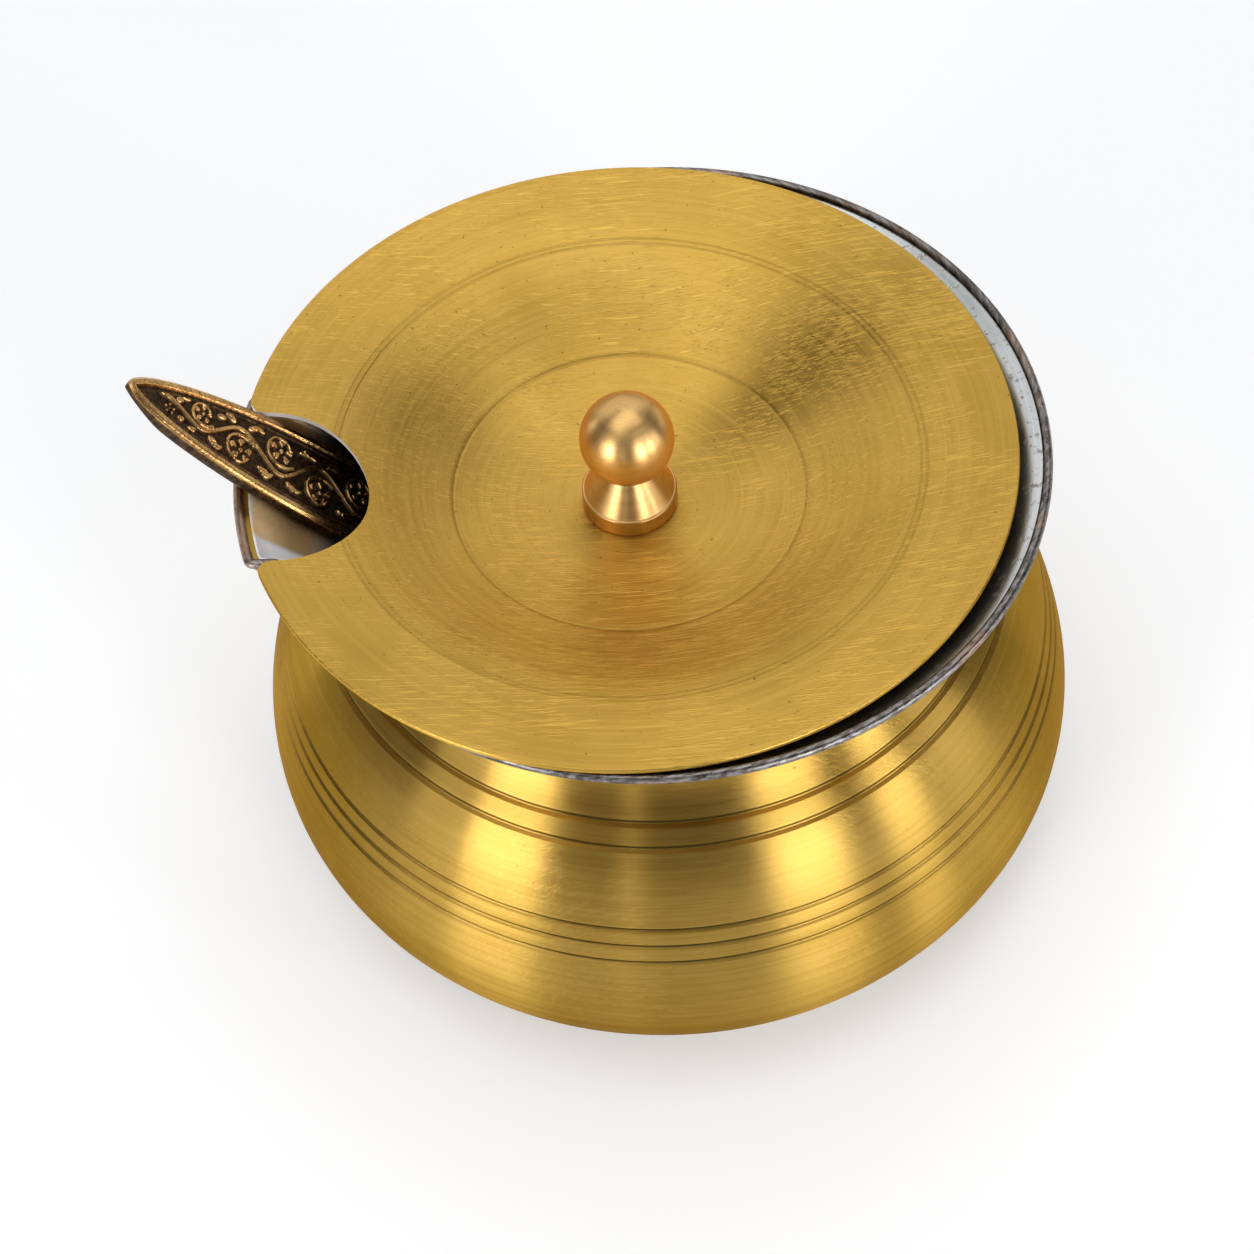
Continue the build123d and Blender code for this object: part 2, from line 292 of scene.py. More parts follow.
turnedLooks = {
    "potBrass": {
        "light": (0.52, 0.33, 0.075, 1), "dark": (0.36, 0.215, 0.036, 1), "rough": 0.33, "spread": 0.08,
        "lines": 0.20, "scratches": 0.5, "pits": 0.35, "anisotropic": 1.0, "coat": 0.05, "low": 0.75,
        "cutHalf": 0.40, "cutShade": 0.90,
    },
    "lidBrass": {
        "light": (0.66, 0.41, 0.085, 1), "dark": (0.48, 0.285, 0.046, 1), "rough": 0.36, "spread": 0.16,
        "lines": 0.42, "scratches": 1.3, "pits": 0.6, "anisotropic": 0.8, "coat": 0.1,
        "cutHalf": 0.30, "cutShade": 0.20,
    },
    "knobBrass": {
        "light": (0.80, 0.51, 0.20, 1), "dark": (0.62, 0.36, 0.12, 1), "rough": 0.36, "spread": 0.08,
        "lines": 0.16, "scratches": 0.2, "pits": 0.1, "anisotropic": 0.45, "coat": 0.2,
    },
    "washerBrass": {
        "light": (0.66, 0.44, 0.14, 1), "dark": (0.45, 0.28, 0.07, 1), "rough": 0.35, "spread": 0.12,
        "lines": 0.15, "scratches": 0.5, "pits": 0.5,
    },
    "screwSteel": {
        "light": (0.62, 0.62, 0.64, 1), "dark": (0.42, 0.42, 0.44, 1), "rough": 0.32, "spread": 0.10,
        "lines": 0.12, "scratches": 0.6, "pits": 0.4,
    },
}
# what they share, unless a look says otherwise
turned = {
    "anisotropic": 0.3, "coat": 0.0, "low": 0.0,
    "coatRough": 0.22, "edgeTint": 1.3, "fine": (5.0, 1.5, 5.0), "broad": (0.9, 0.8, 0.9),
    "strokes": ((0.35, 0.55), (1.2, 0.7), (2.3, 0.6)), "strokeShape": (0.11, 3.0, 1.0),
    "strokeSpan": (0.55, 0.66), "patchSize": 0.05, "patchApart": 7, "patchScale": 1.3,
    "patchSpan": (0.42, 0.60), "pitScale": 1.7, "pitSpan": (0.69, 0.75), "cloudScale": 0.045,
    "toneRings": 0.45, "toneBands": 0.35, "toneCloud": 0.45, "toneSpan": (0.42, 0.80), "pitTint": 0.25,
    "scratchShare": 0.6, "scratchTint": 1.15, "cutEdge": 0.10, "cutTint": 0.2, "footShadeHeights": (1, 24),
    "footShadeTint": 0.35, "pitRough": 0.25, "riseRings": 0.7, "riseBands": 0.3, "risePits": 0.8,
    "riseScratches": 0.45, "depth": 0.0001,
}


def turnedMetal(name, centre, cuts=(), upright=True):
    # metal turned on a lathe: fine rings, longer hand scratches, small dark pits and an uneven
    # tarnish; painted shade along the cuts, which are given as heights when upright and as radii when not,
    # and painted shade towards the foot where a look sets it
    look = {**turned, **turnedLooks[name]}
    material, here, feed = newMaterial(
        name, centre, Metallic=1.0, Anisotropic=look["anisotropic"], Anisotropic_Rotation=0.25,
        Coat_Weight=look["coat"], Coat_Roughness=look["coatRough"],
        Specular_Tint=shaded(look["light"], look["edgeTint"]),
    )
    fineRings, radius = ringPlace(here, *look["fine"])
    broadRings, _ = ringPlace(here, *look["broad"])
    rings = fineRings.noise(1.0, 3, 0.7)
    bands = broadRings.noise(1.0, 2, 0.6)
    marks = []
    for turn, scale in look["strokes"]:
        strokes = here.stretched(look["strokeShape"], turn=(0, 0, turn)).noise(scale * 2, 2, 0.6)
        patch = here.stretched((look["patchSize"],) * 3, place=(turn * look["patchApart"], 0, 0))
        patch = patch.noise(look["patchScale"], 1)
        marks.append(strokes.between(*look["strokeSpan"]) * patch.between(*look["patchSpan"]))
    scratches = (marks[0] + marks[1] + marks[2]).between(0, 1) * look["scratches"]
    pits = here.noise(look["pitScale"], 2, 0.55).between(*look["pitSpan"]) * look["pits"]
    cloud = here.noise(look["cloudScale"], 3, 0.6)
    tone = rings * look["toneRings"] + bands * look["toneBands"] + cloud * look["toneCloud"]
    colour = mixColour(tone.between(*look["toneSpan"]), look["dark"], look["light"])
    colour = mixColour(pits.between(0, 1), colour, shaded(look["dark"], look["pitTint"]))
    bare = shaded(look["light"], look["scratchTint"])
    colour = mixColour(scratches * look["scratchShare"], colour, bare)
    z = split(here)[2]
    # painted shade: the colour darkened along each cut groove
    for cut in cuts:
        away = ((z if upright else radius) - cut).sum("ABSOLUTE")
        share = away.between(look["cutEdge"], look["cutHalf"], look["cutShade"], 0)
        colour = mixColour(share, colour, shaded(look["dark"], look["cutTint"]))
    # painted shade: the colour darkened towards the foot, standing in for the shadowed floor that the lower
    # belly mirrors
    low = z.between(*look["footShadeHeights"], 1, 0) * look["low"]
    feed("Base Color", mixColour(low, colour, shaded(look["dark"], look["footShadeTint"])))
    rough = look["rough"] + (bands - 0.5) * look["spread"] + (rings - 0.5) * look["spread"]
    feed("Roughness", rough + pits * look["pitRough"])
    height = rings * look["riseRings"] + bands * look["riseBands"]
    height = height - pits * look["risePits"] + scratches * look["riseScratches"]
    feed("Normal", bumped(height, look))
    return material


tinLook = {
    "cloudScale": 0.09, "wipe": (0.9, 2.0, 0.9), "speckScale": 0.9, "speckSpan": (0.56, 0.66),
    "speckShare": 0.6, "shadeInsideHeights": (52, 64), "shadeInsideShare": 0.55, "flangeHeights": (68.0, 70.4),
    "flangeShare": 0.35, "lipReach": (-50, -44), "lipHeights": (52, 56), "reflectionSide": (-10.4, -8.9),
    "reflectionReach": (-56.8, -55.4), "goldenReach": (-57, -50), "lipShare": 0.95, "lipMatt": 0.75,
    "greySpan": (0.75, 1.2), "greys": ((0.56, 0.59, 0.59, 1), (0.72, 0.75, 0.75, 1)),
    "speck": (0.20, 0.13, 0.09, 1), "shadeUnderLid": (0.30, 0.28, 0.26, 1), "inside": (0.30, 0.21, 0.13, 1),
    "bright": (0.97, 0.95, 0.95, 1), "goldens": ((0.86, 0.60, 0.30, 1), (0.52, 0.31, 0.12, 1)),
    "rough": 0.30, "roughCloud": 0.2, "roughSpeck": 0.2, "riseCloud": 0.4, "riseWipe": 0.3,
    "riseSpeck": 0.4, "lines": 0.15, "depth": 0.0003,
}


def tinnedMetal(name, look=tinLook):
    # hand-wiped tin over brass: cloudy grey with small pits, painted shade low on the wall, and painted
    # reflections on the lip
    material, here, feed = newMaterial(name, Metallic=1.0)
    cloud = here.noise(look["cloudScale"], 4, 0.62)
    wipe, _ = ringPlace(here, *look["wipe"])
    wiped = wipe.noise(1.0, 3, 0.65)
    specks = here.noise(look["speckScale"], 4, 0.65).between(*look["speckSpan"])
    x, y, z = split(here)
    onLip = x.between(*look["lipReach"], 1, 0) * z.between(*look["lipHeights"])
    colour = mixColour((cloud + wiped).between(*look["greySpan"]), *look["greys"])
    colour = mixColour(specks * look["speckShare"], colour, look["speck"])
    # painted shade: the tin greyed and darkened below a height just under the rim, where the lid shades it
    shadeUnderLid = z.between(*look["flangeHeights"], 1, 0)
    colour = mixColour(shadeUnderLid * look["flangeShare"], colour, look["shadeUnderLid"])
    # painted shade: the tin turned dark brown deeper in the pot, where little light reaches
    inside = z.between(*look["shadeInsideHeights"], 1, 0)
    colour = mixColour(inside * look["shadeInsideShare"], colour, look["inside"])
    # painted reflection on the lip: golden brown where the spoon above is mirrored, near white below it and
    # at the outer edge, where the white room is mirrored
    wearAndReflection = y.between(*look["reflectionSide"]) * x.between(*look["reflectionReach"])
    bright = onLip * (1 - wearAndReflection)
    golden = mixColour(x.between(*look["goldenReach"]), *look["goldens"])
    colour = mixColour(onLip * wearAndReflection * look["lipShare"], colour, golden)
    colour = mixColour(bright * look["lipShare"], colour, look["bright"])
    feed("Base Color", colour)
    feed("Metallic", 1 - onLip * look["lipMatt"])
    feed("Roughness", look["rough"] + (cloud - 0.5) * look["roughCloud"] + specks * look["roughSpeck"])
    height = cloud * look["riseCloud"] + wiped * look["riseWipe"] - specks * look["riseSpeck"]
    feed("Normal", bumped(height, look))
    return material


beadLook = {
    "along": (1.4, 40.0, 1.4), "speckScale": 1.1, "speckSpan": (0.58, 0.68), "speckShare": 0.7,
    "wornScale": 0.12, "wornSpan": (0.52, 0.66), "wornShare": 0.35, "cornerReach": (-57, -53),
    "cornerShare": 0.3, "streakSpan": (0.38, 0.62), "copper": (0.45, 0.27, 0.17, 1),
    "greys": ((0.105, 0.09, 0.08, 1), (0.30, 0.285, 0.28, 1)), "speck": (0.05, 0.04, 0.035, 1),
    "rough": 0.34, "roughStreak": 0.3, "roughSpeck": 0.2, "riseStreak": 0.7, "riseSpeck": 0.6,
    "lines": 0.2, "depth": 0.0003,
}


def beadMetal(name, look=beadLook):
    # the tinned bead: dark from handling, pale where the tin still shines,
    # copper where it is rubbed through
    material, here, feed = newMaterial(name, Metallic=1.0)
    along, _ = ringPlace(here, *look["along"])
    streaks = along.noise(1.0, 4, 0.65)
    specks = here.noise(look["speckScale"], 3, 0.65).between(*look["speckSpan"])
    wearAndReflection = here.noise(look["wornScale"], 2, 0.5).between(*look["wornSpan"])
    corner = split(here)[0].between(*look["cornerReach"], 1, 0)
    colour = mixColour(streaks.between(*look["streakSpan"]), *look["greys"])
    rubbed = wearAndReflection * look["wornShare"] + corner * look["cornerShare"]
    colour = mixColour(rubbed, colour, look["copper"])
    feed("Base Color", mixColour(specks * look["speckShare"], colour, look["speck"]))
    feed("Roughness", look["rough"] + (streaks - 0.5) * look["roughStreak"] + specks * look["roughSpeck"])
    height = streaks * look["riseStreak"] - specks * look["riseSpeck"]
    feed("Normal", bumped(height, look))
    return material


bronzeLook = {
    "grainScale": 1.6, "cloudScale": 0.25, "rubGrain": 0.3, "rubCloud": 0.25, "rubSpan": (0.35, 0.85),
    "toneSpan": (0.35, 0.65), "brights": ((0.52, 0.28, 0.10, 1), (0.74, 0.45, 0.17, 1)),
    "dulls": ((0.030, 0.018, 0.011, 1), (0.10, 0.058, 0.030, 1)), "rough": 0.50, "roughRubbed": 0.24,
    "roughGrain": 0.2, "riseGrain": 0.8, "riseCloud": 0.4, "lines": 0.45, "depth": 0.0002,
}


def antiqueBronze(name, look=bronzeLook):
    # cast bronze, dark in its hollows and rubbed golden on what stands up
    material, here, feed = newMaterial(name, Metallic=1.0)
    raised = here.node("Attribute", out=2, attribute_name="raised")
    grain = here.noise(look["grainScale"], 4, 0.6)
    cloud = here.noise(look["cloudScale"], 3, 0.6)
    rubbed = raised + (grain - 0.5) * look["rubGrain"] + (cloud - 0.5) * look["rubCloud"]
    rubbed = rubbed.between(*look["rubSpan"])
    bright = mixColour(cloud.between(*look["toneSpan"]), *look["brights"])
    dull = mixColour(grain.between(*look["toneSpan"]), *look["dulls"])
    feed("Base Color", mixColour(rubbed, dull, bright))
    feed("Roughness", look["rough"] - rubbed * look["roughRubbed"] + (grain - 0.5) * look["roughGrain"])
    height = grain * look["riseGrain"] + cloud * look["riseCloud"]
    feed("Normal", bumped(height, look))
    return material


floorLook = {
    "glow": 0.31, "scale": 0.004, "span": (0.3, 0.7), "rough": 0.75, "roughCloud": 0.1,
    "whites": ((0.79, 0.805, 0.83, 1), (0.81, 0.825, 0.85, 1)),
}


def floorPaint(name, look=floorLook):
    glow = {"Emission_Color": (1, 1, 1, 1), "Emission_Strength": look["glow"]}
    material, here, feed = newMaterial(name, Metallic=0.0, **glow)
    cloud = here.noise(look["scale"], 2, 0.5)
    feed("Base Color", mixColour(cloud.between(*look["span"]), *look["whites"]))
    feed("Roughness", look["rough"] + cloud * look["roughCloud"])
    return material


# Pot

pot = {
    "rimHeight": 71.65, "beadCircle": 54.2, "beadRadius": 0.7, "wall": 1.2, "coat": 0.25, "coatGap": 0.02,
    "thinning": 0.68, "neck": (44.0, 57.0), "breast": (50.6, 47.6), "shoulder": (57.9, 34.0),
    "belly": (61.3, 18.5), "foot": 42.9,
    "grooves": (50.3, 47.8, 36.8, 34.0, 31.2), "grooveRadius": 0.5, "grooveDepth": 0.3,
    "grooveReach": 0.4, "grooveRows": (-0.5, -0.36, -0.2, 0, 0.2, 0.36, 0.5),
    "columns": 480, "rowSteps": (1.0, 2.5), "coatRowSteps": (3.0, 1.0),  # outside and inside
    "rimBand": 4, "rimRows": 26, "baseRows": (0, 8, 16, 24, 32, 38), "bendRows": 16, "sideSteps": 200,
    "flareSteps": 60, "sharpAngle": 30, "beadEase": 1.6, "beadSteps": 900, "beadSides": 28,
    "linePoints": 2400,
}
lip = {
    "reach": 3.6, "width": 29.6, "corner": 2.4, "rootRadius": 41.05, "rootHeight": 54.6, "bulge": 0.33,
    "bulgeShape": 5.6, "slope": 1.41, "heightSpan": (-1, 1.2), "facing": 0.5, "joinEase": 1.6,
    "crowd": 0.55, "crowdSpan": 0.16,
}
innerInset = pot["wall"] + pot["coat"]
lipCircle = pot["beadCircle"] + lip["reach"]


def potSide(inset):
    # the pot's side from the belly to the rim, for its outside or the surfaces inside it
    marks = [pot["belly"], pot["shoulder"], pot["breast"], pot["neck"]]
    side = curveThrough(marks, (0, 1), (0, 1), pot["sideSteps"])
    side = side[np.append(True, np.any(np.diff(side, axis=0) != 0, axis=1))]
    aim = np.gradient(side, axis=0)
    aim /= np.linalg.norm(aim, axis=1)[:, None]
    aim[0] = aim[-1] = (0, 1)
    side = side + inset * np.stack([-aim[:, 1], aim[:, 0]], axis=1)
    startRadius, rise = pot["neck"][0] - pot["wall"] / 2, pot["rimHeight"] - pot["neck"][1]
    turn = 2 * atan((pot["beadCircle"] - startRadius) / rise)
    reach = rise / sin(turn)
    angles = np.linspace(0, turn, pot["flareSteps"])[1:]
    size = reach - pot["wall"] / 2 + inset * (1 - pot["thinning"] * ease(angles, 0, turn))
    across = startRadius + reach - size * np.cos(angles)
    flare = np.stack([across, pot["neck"][1] + size * np.sin(angles)], axis=1)
    return np.concatenate([side, flare])


def lipOutline(turn, inset):
    # how far out the lip reaches at an angle from the -X axis
    front = lipCircle + pot["wall"] / 2 - inset
    half = lip["width"] / 2 + pot["wall"] / 2 - inset
    sides = half / np.maximum(np.abs(np.sin(turn)), nearlyZero)
    return np.where(np.cos(turn) > lip["facing"], smoothMin(front, sides, lip["corner"]), 0)


def wallRadius(turn, height, inset, side):
    # radius of the wall at each angle and height: the pot's own or the lip's, whichever is further out
    plain = np.interp(height, side[:, 1], side[:, 0])
    share = (height - lip["rootHeight"]) / (pot["rimHeight"] - lip["rootHeight"])
    share = np.clip(share, *lip["heightSpan"])
    bulge = lip["bulgeShape"] * lip["bulge"] * share * (1 - share)
    floor = lip["rootRadius"] + share * (lipCircle - lip["rootRadius"]) - bulge
    floor = floor - lip["slope"] * (inset - pot["wall"] / 2)
    channel = smoothMin(lipOutline(turn, inset), floor, lip["corner"])
    return smoothMax(plain, channel, lip["joinEase"])


def roundTurns():
    # angles from the -X axis, crowded together near the lip's two corners
    even = np.linspace(0, 2 * pi, pot["columns"], endpoint=False)
    corner = np.arcsin(lip["width"] / 2 / lipCircle)
    for place in (corner, 2 * pi - corner):
        near = np.arctan2(np.sin(even - place), np.cos(even - place))
        even = even - lip["crowd"] * near * np.exp(-((near / lip["crowdSpan"]) ** 2))
    return even


def aroundPot(turn, radius, height):
    return np.stack([-radius * np.cos(turn), radius * np.sin(turn), height + 0 * turn], axis=-1)


def potSurface(inset, grooves, step):
    # rows of points from the middle of the base out and up to the rim
    side = potSide(inset)
    bandStart = pot["rimHeight"] - pot["rimBand"]
    heights = list(np.arange(pot["belly"][1], bandStart, step))
    heights += list(np.linspace(bandStart, pot["rimHeight"], pot["rimRows"]))
    if grooves:
        heights += [g + k for g in pot["grooves"] for k in pot["grooveRows"]]
    heights = np.array(sorted(set(np.round(heights, 4))))
    turn = roundTurns()
    rows = []
    for radius in (*pot["baseRows"], pot["foot"]):
        rows.append(aroundPot(turn, radius, inset))
    for angle in np.linspace(0, pi / 2, pot["bendRows"])[1:-1]:
        out = pot["foot"] + (pot["belly"][0] - pot["foot"] - inset) * sin(angle)
        up = pot["belly"][1] - (pot["belly"][1] - inset) * cos(angle)
        rows.append(aroundPot(turn, out, up))
    for height in heights:
        radius = wallRadius(turn, height, inset, side)
        if grooves:
            plain = np.interp(height, side[:, 1], side[:, 0])
            for groove in pot["grooves"]:
                away = pot["grooveRadius"] ** 2 - (height - groove) ** 2
                if away > 0:
                    surface = np.interp(groove, side[:, 1], side[:, 0])
                    middle = surface + pot["grooveRadius"] - pot["grooveDepth"]
                    cut = np.minimum(radius, middle - sqrt(away))
                    radius = np.where(radius < plain + pot["grooveReach"], cut, radius)
        rows.append(aroundPot(turn, radius, height))
    return np.array(rows)


def makeShell(name, outerInset, within, grooves, steps):
    # outside up to the rim, then back down the inside, as one closed skin
    outer = potSurface(outerInset, grooves, steps[0])
    inner = potSurface(within, False, steps[1])
    piece = gridMesh(name, np.concatenate([outer, inner[::-1]]))
    finishMesh(piece, pot["sharpAngle"])
    return piece


def beadTree():
    # a round bead along a closed line
    inputs = {"Bead radius": "Float", "Steps along": "Int", "Steps round": "Int", "Metal": "Material"}
    tree, given, end = newTree("beadAlongLine", inputs)
    line = {"Curve": given["Geometry"], "Count": given["Steps along"]}
    even = addNode(tree, "GeometryNodeResampleCurve", line)
    ring = {"Radius": given["Bead radius"], "Resolution": given["Steps round"]}
    section = addNode(tree, "GeometryNodeCurvePrimitiveCircle", ring)
    curves = {"Curve": even.outputs[0], "Profile Curve": section.outputs[0]}
    swept = addNode(tree, "GeometryNodeCurveToMesh", curves)
    return finishTree(tree, end, swept, given["Metal"])


potBrass = turnedMetal("potBrass", (0, 0, 0), pot["grooves"])
potShell = makeShell("pot_shell", 0, pot["wall"], True, pot["rowSteps"])
potShell.data.materials.append(potBrass)
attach(potShell, "pot")
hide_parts("pot_body")
print("pot shell made")

tinSkin = tinnedMetal("tinSkin")
coatOutside = pot["wall"] + pot["coatGap"]
tinSheet = makeShell("tin_skin", coatOutside, innerInset, False, pot["coatRowSteps"])
tinSheet.data.materials.append(tinSkin)
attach(tinSheet, "pot")
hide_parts("tin_lining")

beadTin = beadMetal("beadTin")
turn = np.linspace(0, 2 * pi, pot["linePoints"], endpoint=False)
beadLine = smoothMax(pot["beadCircle"], lipOutline(turn, pot["wall"] / 2), pot["beadEase"])
rimLine = lineCurve("rimLine", aroundPot(turn, beadLine, pot["rimHeight"]), closed=True)
values = {
    "Bead radius": pot["beadRadius"] * mm, "Steps along": pot["beadSteps"],
    "Steps round": pot["beadSides"], "Metal": beadTin,
}
rimBead = runTree(rimLine, beadTree(), values, "rim_bead")
finishMesh(rimBead)
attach(rimBead, "pot")
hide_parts("tin_lining")
print("tin and rim bead made")

# Lid

lid = {
    "centre": (-3.6, 0.0, 73.443), "tilt": 0.7, "radius": 53.9, "sheet": 0.8, "hole": 2.05,
    "curve": ((8.0, -12.9), (24.8, -10.0), (40.7, -2.75), (53.9, 0.0)), "edgeSlope": 0.2,
    "rings": (24.8, 40.6, 41.4), "ringRadius": 0.4, "ringDepths": (0.07, 0.03, 0.03),
    "ringRows": (-0.4, -0.3, -0.15, 0, 0.15, 0.3, 0.4), "columns": 576, "edgeRound": 0.2, "flatMiddle": 5.0,
    "curveSteps": 150, "topStep": 0.8, "topGap": 0.6, "underStep": 2.2, "underGap": 2, "edgeRows": 5,
    "sharpAngle": 40,
}
notch = {
    "radius": 13.2, "centre": 49.5, "turn": 183.0, "corner": 2.0, "beyond": 6, "steps": 61,
    "cornerSteps": 9, "halfHeight": 20,
}


def turningTree():
    # a section curve, drawn in X (radius) and Y (height), turned once round the Z axis
    inputs = {"Steps round": "Int", "Merge distance": "Float", "Metal": "Material"}
    tree, given, end = newTree("turnedRound", inputs)
    section = addNode(tree, "GeometryNodeCurveToMesh", {"Curve": given["Geometry"]})
    line = {"Geometry": section.outputs[0]}
    size = addNode(tree, "GeometryNodeAttributeDomainSize", line, component="MESH")
    count = Wire(tree, size.outputs["Point Count"])
    corners = {"Vertices X": given["Steps round"], "Vertices Y": count.socket}
    grid = addNode(tree, "GeometryNodeMeshGrid", corners)
    index = Wire(tree, addNode(tree, "GeometryNodeInputIndex").outputs[0])
    column = (index / count).sum("FLOOR")
    angle = column / (Wire(tree, given["Steps round"]) - 1.0) * (2 * pi)
    place = addNode(tree, "GeometryNodeInputPosition")
    row = index.sum("MODULO", count).socket
    sample = {"Geometry": section.outputs[0], "Value": place.outputs[0], "Index": row}
    point = addNode(tree, "GeometryNodeSampleIndex", sample, data_type="FLOAT_VECTOR")
    parts = addNode(tree, "ShaderNodeSeparateXYZ", {0: point.outputs[0]})
    flat = addNode(tree, "ShaderNodeCombineXYZ", {0: parts.outputs[0], 2: parts.outputs[1]})
    arm = {"Vector": flat.outputs[0], "Angle": angle.socket}
    swung = addNode(tree, "ShaderNodeVectorRotate", arm, {"Axis": (0, 0, 1)})
    spread = {"Geometry": grid.outputs["Mesh"], "Position": swung.outputs[0]}
    moved = addNode(tree, "GeometryNodeSetPosition", spread)
    near = {"Geometry": moved.outputs[0], "Distance": given["Merge distance"]}
    merged = addNode(tree, "GeometryNodeMergeByDistance", near)
    return finishTree(tree, end, merged, given["Metal"])


turning = turningTree()
mergeDistance = 2e-6


def turnedPiece(name, section, columns, metal):
    points = [(p[0], p[1], 0) for p in section]
    values = {"Steps round": columns + 1, "Merge distance": mergeDistance, "Metal": metal}
    return runTree(lineCurve(name + "Section", points), turning, values, name)


def lidPlace():
    # from the lid's own frame to the shared one
    return Matrix.Translation(Vector(lid["centre"]) * mm) @ Matrix.Rotation(radians(lid["tilt"]), 4, "Y")


def lidSection():
    upper = curveThrough(lid["curve"], (1, 0), (1, lid["edgeSlope"]), lid["curveSteps"])
    innermost, edge, half = lid["curve"][0][0], lid["edgeRound"], lid["radius"]

    def heightAt(place):
        return np.interp(place, upper[:, 0], upper[:, 1])

    radii = np.arange(innermost, half - lid["topGap"], lid["topStep"])
    radii = np.concatenate([[lid["hole"], lid["flatMiddle"]], radii])
    radii = np.concatenate([radii] + [[r + k for k in lid["ringRows"]] for r in lid["rings"]])
    radii = np.array(sorted(set(np.round(radii, 3))))
    heights = heightAt(radii)
    for ring, cutDepth in zip(lid["rings"], lid["ringDepths"]):
        away = lid["ringRadius"] ** 2 - (radii - ring) ** 2
        middle = heightAt(ring) + lid["ringRadius"] - cutDepth
        cut = np.minimum(heights, middle - np.sqrt(np.maximum(away, 0)))
        heights = np.where(away > 0, cut, heights)
    turns = np.linspace(0, pi / 2, lid["edgeRows"])
    rounding = [(half - edge + edge * sin(a), -edge + edge * cos(a)) for a in turns]
    rounding += [(half - edge + edge * cos(a), -lid["sheet"] + edge - edge * sin(a)) for a in turns]
    under = list(np.arange(half - lid["underGap"], innermost, -lid["underStep"])) + [innermost, lid["hole"]]
    low = [(r, heightAt(r) - lid["sheet"]) for r in under]
    top = list(zip(radii, heights))
    return top + rounding + low + [top[0]]


def notchCutter():
    # the notch's outline, from beyond the edge in round the spoon and out again
    inner, reach, corner, edge = notch["radius"], notch["centre"], notch["corner"], lid["radius"]
    across = inner + corner
    middle = sqrt((edge - corner) ** 2 - across**2)  # centre of the rounded corner, along the notch
    begin = np.arctan2(across, middle)
    turns = np.linspace(-pi / 2, pi / 2, notch["steps"])
    arc = [(reach - inner * cos(a), inner * sin(a)) for a in turns]
    turns = np.linspace(0, pi / 2 + begin, notch["cornerSteps"])
    rounded = [(middle + corner * sin(a), across - corner * cos(a)) for a in turns]
    out = notch["beyond"]
    beyond = [(middle + corner * cos(begin) + out, across + corner * sin(begin) + out)]
    line = arc + rounded + beyond
    line = [(x, -y) for x, y in reversed(rounded + beyond)] + line
    depth = notch["halfHeight"] * mm
    shape = bmesh.new()
    low = [shape.verts.new((x * mm, y * mm, -depth)) for x, y in line]
    made = bmesh.ops.extrude_face_region(shape, geom=[shape.faces.new(low)])
    upperVerts = [v for v in made["geom"] if isinstance(v, bmesh.types.BMVert)]
    bmesh.ops.translate(shape, verts=upperVerts, vec=(0, 0, 2 * depth))
    bmesh.ops.recalc_face_normals(shape, faces=shape.faces)
    mesh = bpy.data.meshes.new("notchCutter")
    shape.to_mesh(mesh)
    shape.free()
    cutter = link("notchCutter", mesh)
    cutter.data.transform(Matrix.Rotation(radians(notch["turn"]), 4, "Z"))
    return cutter


lidBrass = turnedMetal("lidBrass", lid["centre"], lid["rings"], upright=False)
rawLid = turnedPiece("rawLid", lidSection(), lid["columns"], lidBrass)
finishMesh(rawLid)
cutter = notchCutter()
cut = rawLid.modifiers.new("notch", "BOOLEAN")
cut.object, cut.operation, cut.solver = cutter, "DIFFERENCE", "EXACT"
lidPlate = plainMesh(rawLid, "lid_plate_turned")
bpy.data.objects.remove(cutter)
lidPlate.data.transform(lidPlace())
finishMesh(lidPlate, lid["sharpAngle"])
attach(lidPlate, "lid")
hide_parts("lid_plate")
print("lid made", len(lidPlate.data.polygons))

# Knob

knob = {
    "foot": -12.85, "ball": 6.6, "ballHeight": 13.5, "footRadius": 6.75, "footHeight": 3.1, "neck": 3.1,
    "edge": 0.35, "columns": 160, "hole": 2.0, "bite": 5.55, "ballSteps": 44, "coneSteps": 10,
    "edgeSteps": 6, "sharpAngle": 30,
}


def knobSection():
    # from the top of the ball down the cone and the foot to the middle of the hole
    ballRadius, footRadius, footHeight = knob["ball"], knob["footRadius"], knob["footHeight"]
    lowest = pi / 2 + acos(knob["neck"] / ballRadius)
    turns = np.linspace(0, lowest, knob["ballSteps"])
    ball = [(ballRadius * sin(a), knob["ballHeight"] + ballRadius * cos(a)) for a in turns]
    edge = knob["edge"]
    (fromX, fromY), toX = ball[-1], footRadius - edge
    slope = np.linspace(0, 1, knob["coneSteps"])[1:]
    cone = [(fromX + (toX - fromX) * share, fromY + (footHeight - fromY) * share) for share in slope]
    turns = np.linspace(0, pi / 2, knob["edgeSteps"])[1:]
    rounding = [(toX + edge * sin(a), footHeight - edge + edge * cos(a)) for a in turns]
    hole, bite = knob["hole"], knob["bite"]
    below = [(footRadius, edge), (toX, 0), (hole, 0), (hole, bite), (0, bite)]
    return [(x, y + knob["foot"]) for x, y in ball + cone + rounding + below]


knobBrass = turnedMetal("knobBrass", lid["centre"])
knobPiece = turnedPiece("knob_turned", knobSection(), knob["columns"], knobBrass)
knobPiece.data.transform(lidPlace())
finishMesh(knobPiece, knob["sharpAngle"])
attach(knobPiece, "knob")
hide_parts("lid_knob")

for node, name in (("knob_washer", "washerBrass"), ("knob_screw", "screwSteel")):
    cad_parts[node].data.materials.clear()
    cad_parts[node].data.materials.append(turnedMetal(name, lid["centre"]))
print("knob made")

# Spoon

